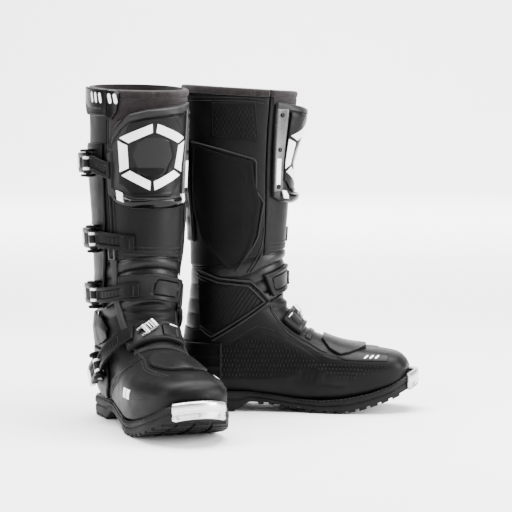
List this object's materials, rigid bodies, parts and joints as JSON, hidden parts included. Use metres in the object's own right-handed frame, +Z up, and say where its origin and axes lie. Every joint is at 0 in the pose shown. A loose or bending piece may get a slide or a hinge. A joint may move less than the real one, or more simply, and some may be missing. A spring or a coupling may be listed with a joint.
{
  "type": "pair of riding boots",
  "caption": "Pair of tall off-road riding boots with hinged shin flap, ankle flex zone, strap-and-lever closures, shin plate, guards and a metal-capped toe.",
  "frame": {"origin": "middle of the pair's footprint box, on the floor under the soles", "axes": "+X the way the left boot's toe points, +Z up along the shafts, +Y from the right boot towards the far side of the left boot"},
  "size_m": [0.4314, 0.3936, 0.419],
  "materials": {
    "sole_rubber": "matte moulded rubber",
    "shank_steel": "plain steel strip",
    "insole_board": "woven fibre board",
    "upper_leather": "fine-grain dark grey microfibre leather, semi-matt",
    "toe_metal": "bright pressed metal with fine brushing and scuffs",
    "black_moulding": "textured black moulding",
    "grey_moulding": "satin grey flexible moulding",
    "bellows_microfibre": "soft ribbed black microfibre",
    "grip_leather": "embossed black grip leather",
    "collar_fabric": "knitted fabric over soft padding",
    "plate_moulding": "satin grey moulding, lightly worn edges",
    "gloss_insert": "glossy black plate with white bands",
    "lever_moulding": "satin dark grey moulding with bright tip",
    "strap_moulding": "flexible dark strap"
  },
  "bodies": {
    "left_foot": {"left_outsole": "sole_rubber", "left_shank": "shank_steel", "left_insole": "insole_board", "left_foot_shell": "upper_leather", "left_toe_guard": "toe_metal", "left_heel_counter": "black_moulding", "left_instep_guard": "grey_moulding", "left_ankle_guard_medial": "grey_moulding", "left_ankle_guard_lateral": "grey_moulding"},
    "left_cuff": {"left_shaft_shell": "upper_leather", "left_ankle_bellows": "bellows_microfibre", "left_heat_guard": "grip_leather", "left_calf_guard": "grey_moulding", "left_collar_rear": "collar_fabric", "left_closure_rail": "grey_moulding"},
    "left_shin_flap": {"left_shin_panel": "upper_leather", "left_shin_plate": "plate_moulding", "left_shin_insert": "gloss_insert", "left_collar_front": "collar_fabric"},
    "left_collar_flap": {"left_collar_flap": "black_moulding"},
    "left_lever_1": {"left_lever_1": "lever_moulding"},
    "left_lever_2": {"left_lever_2": "lever_moulding"},
    "left_lever_3": {"left_lever_3": "lever_moulding"},
    "left_lever_4": {"left_lever_4": "lever_moulding"},
    "left_strap_1": {"left_strap_1": "strap_moulding"},
    "left_strap_2": {"left_strap_2": "strap_moulding"},
    "left_strap_3": {"left_strap_3": "strap_moulding", "left_ankle_saddle": "grey_moulding"},
    "left_strap_4": {"left_strap_4": "strap_moulding", "left_instep_saddle": "grey_moulding"},
    "right_foot": {"right_outsole": "sole_rubber", "right_shank": "shank_steel", "right_insole": "insole_board", "right_foot_shell": "upper_leather", "right_toe_guard": "toe_metal", "right_heel_counter": "black_moulding", "right_instep_guard": "grey_moulding", "right_ankle_guard_medial": "grey_moulding", "right_ankle_guard_lateral": "grey_moulding"},
    "right_cuff": {"right_shaft_shell": "upper_leather", "right_ankle_bellows": "bellows_microfibre", "right_heat_guard": "grip_leather", "right_calf_guard": "grey_moulding", "right_collar_rear": "collar_fabric", "right_closure_rail": "grey_moulding"},
    "right_shin_flap": {"right_shin_panel": "upper_leather", "right_shin_plate": "plate_moulding", "right_shin_insert": "gloss_insert", "right_collar_front": "collar_fabric"},
    "right_collar_flap": {"right_collar_flap": "black_moulding"},
    "right_lever_1": {"right_lever_1": "lever_moulding"},
    "right_lever_2": {"right_lever_2": "lever_moulding"},
    "right_lever_3": {"right_lever_3": "lever_moulding"},
    "right_lever_4": {"right_lever_4": "lever_moulding"},
    "right_strap_1": {"right_strap_1": "strap_moulding"},
    "right_strap_2": {"right_strap_2": "strap_moulding"},
    "right_strap_3": {"right_strap_3": "strap_moulding", "right_ankle_saddle": "grey_moulding"},
    "right_strap_4": {"right_strap_4": "strap_moulding", "right_instep_saddle": "grey_moulding"}
  },
  "joints": [
    {"name": "left_ankle_flex", "type": "hinge", "parent": "left_foot", "child": "left_cuff", "pos_m": [-0.01524, 0.12033, 0.112], "axis": [0, 1, 0], "range_deg": [-3, 10], "stiffness_Nm_per_rad": 15, "deforming": ["left_ankle_bellows"]},
    {"name": "left_shin_flap_hinge", "type": "hinge", "parent": "left_cuff", "child": "left_shin_flap", "pos_m": [0.02209, 0.0725, 0.30669], "axis": [-0.0434, 0.0333, -0.9985], "range_deg": [0, 70]},
    {"name": "left_collar_flap_hinge", "type": "hinge", "parent": "left_shin_flap", "child": "left_collar_flap", "pos_m": [0.02429, 0.17283, 0.39611], "axis": [-0.083, -0.0074, -0.9965], "range_deg": [0, 60]},
    {"name": "left_lever_1_hinge", "type": "hinge", "parent": "left_cuff", "child": "left_lever_1", "pos_m": [-0.01162, 0.18806, 0.32175], "axis": [-0.0014, -0.0238, -0.9997], "range_deg": [0, 110]},
    {"name": "left_lever_2_hinge", "type": "hinge", "parent": "left_cuff", "child": "left_lever_2", "pos_m": [-0.00605, 0.18259, 0.22839], "axis": [-0.0083, -0.0571, -0.9983], "range_deg": [0, 110]},
    {"name": "left_lever_3_hinge", "type": "hinge", "parent": "left_cuff", "child": "left_lever_3", "pos_m": [-0.01423, 0.17908, 0.15847], "axis": [-0.0063, -0.0499, -0.9987], "range_deg": [0, 110]},
    {"name": "left_lever_4_hinge", "type": "hinge", "parent": "left_foot", "child": "left_lever_4", "pos_m": [-0.00689, 0.17734, 0.06969], "axis": [0.498, -0.0425, -0.8661], "range_deg": [0, 110]},
    {"name": "left_strap_1_hinge", "type": "hinge", "parent": "left_shin_flap", "child": "left_strap_1", "pos_m": [0.03067, 0.17158, 0.31368], "axis": [-0.031, -0.0289, -0.9991], "range_deg": [0, 60]},
    {"name": "left_strap_2_hinge", "type": "hinge", "parent": "left_shin_flap", "child": "left_strap_2", "pos_m": [0.04115, 0.14417, 0.22479], "axis": [-0.0721, -0.0321, -0.9969], "range_deg": [0, 60]},
    {"name": "left_strap_3_hinge", "type": "hinge", "parent": "left_cuff", "child": "left_strap_3", "pos_m": [0.02252, 0.08074, 0.16208], "axis": [0.3653, 0.2956, -0.8827], "range_deg": [0, 45]},
    {"name": "left_strap_4_hinge", "type": "hinge", "parent": "left_foot", "child": "left_strap_4", "pos_m": [0.05204, 0.08712, 0.10955], "axis": [0.7806, 0.0228, -0.6247], "range_deg": [0, 25]},
    {"name": "right_ankle_flex", "type": "hinge", "parent": "right_foot", "child": "right_cuff", "pos_m": [-0.13624, 0.01933, 0.112], "axis": [0.9239, 0.3827, 0], "range_deg": [-3, 10], "stiffness_Nm_per_rad": 15, "deforming": ["right_ankle_bellows"]},
    {"name": "right_shin_flap_hinge", "type": "hinge", "parent": "right_cuff", "child": "right_shin_flap", "pos_m": [-0.07777, 0.00314, 0.30669], "axis": [0.0474, -0.0274, 0.9985], "range_deg": [0, 70]},
    {"name": "right_collar_flap_hinge", "type": "hinge", "parent": "right_shin_flap", "child": "right_collar_flap", "pos_m": [-0.16962, -0.03728, 0.39611], "axis": [0.0249, -0.0795, 0.9965], "range_deg": [0, 60]},
    {"name": "right_lever_1_hinge", "type": "hinge", "parent": "right_cuff", "child": "right_lever_1", "pos_m": [-0.19743, -0.00993, 0.32175], "axis": [-0.0215, -0.0104, 0.9997], "range_deg": [0, 110]},
    {"name": "right_lever_2_hinge", "type": "hinge", "parent": "right_cuff", "child": "right_lever_2", "pos_m": [-0.19024, -0.01299, 0.22839], "axis": [-0.0496, -0.0295, 0.9983], "range_deg": [0, 110]},
    {"name": "right_lever_3_hinge", "type": "hinge", "parent": "right_cuff", "child": "right_lever_3", "pos_m": [-0.19013, -0.00408, 0.15847], "axis": [-0.0437, -0.0249, 0.9987], "range_deg": [0, 110]},
    {"name": "right_lever_4_hinge", "type": "hinge", "parent": "right_foot", "child": "right_lever_4", "pos_m": [-0.18572, -0.01021, 0.06969], "axis": [-0.2298, 0.4439, 0.8661], "range_deg": [0, 110]},
    {"name": "right_strap_1_hinge", "type": "hinge", "parent": "right_shin_flap", "child": "right_strap_1", "pos_m": [-0.16602, -0.0427, 0.31368], "axis": [-0.0148, -0.0397, 0.9991], "range_deg": [0, 60]},
    {"name": "right_strap_2_hinge", "type": "hinge", "parent": "right_shin_flap", "child": "right_strap_2", "pos_m": [-0.13669, -0.04189, 0.22479], "axis": [-0.0021, -0.0789, 0.9969], "range_deg": [0, 60]},
    {"name": "right_strap_3_hinge", "type": "hinge", "parent": "right_cuff", "child": "right_strap_3", "pos_m": [-0.08521, -0.0004, 0.16208], "axis": [0.1333, 0.4506, 0.8827], "range_deg": [0, 45]},
    {"name": "right_strap_4_hinge", "type": "hinge", "parent": "right_foot", "child": "right_strap_4", "pos_m": [-0.07981, -0.03012, 0.10955], "axis": [-0.2777, 0.7299, 0.6247], "range_deg": [0, 25]},
    {"name": "right_boot_lift", "type": "slide", "parent": "left_foot", "child": "right_foot", "axis": [0, 0, 1], "range_m": [0, 0.45]}
  ]
}
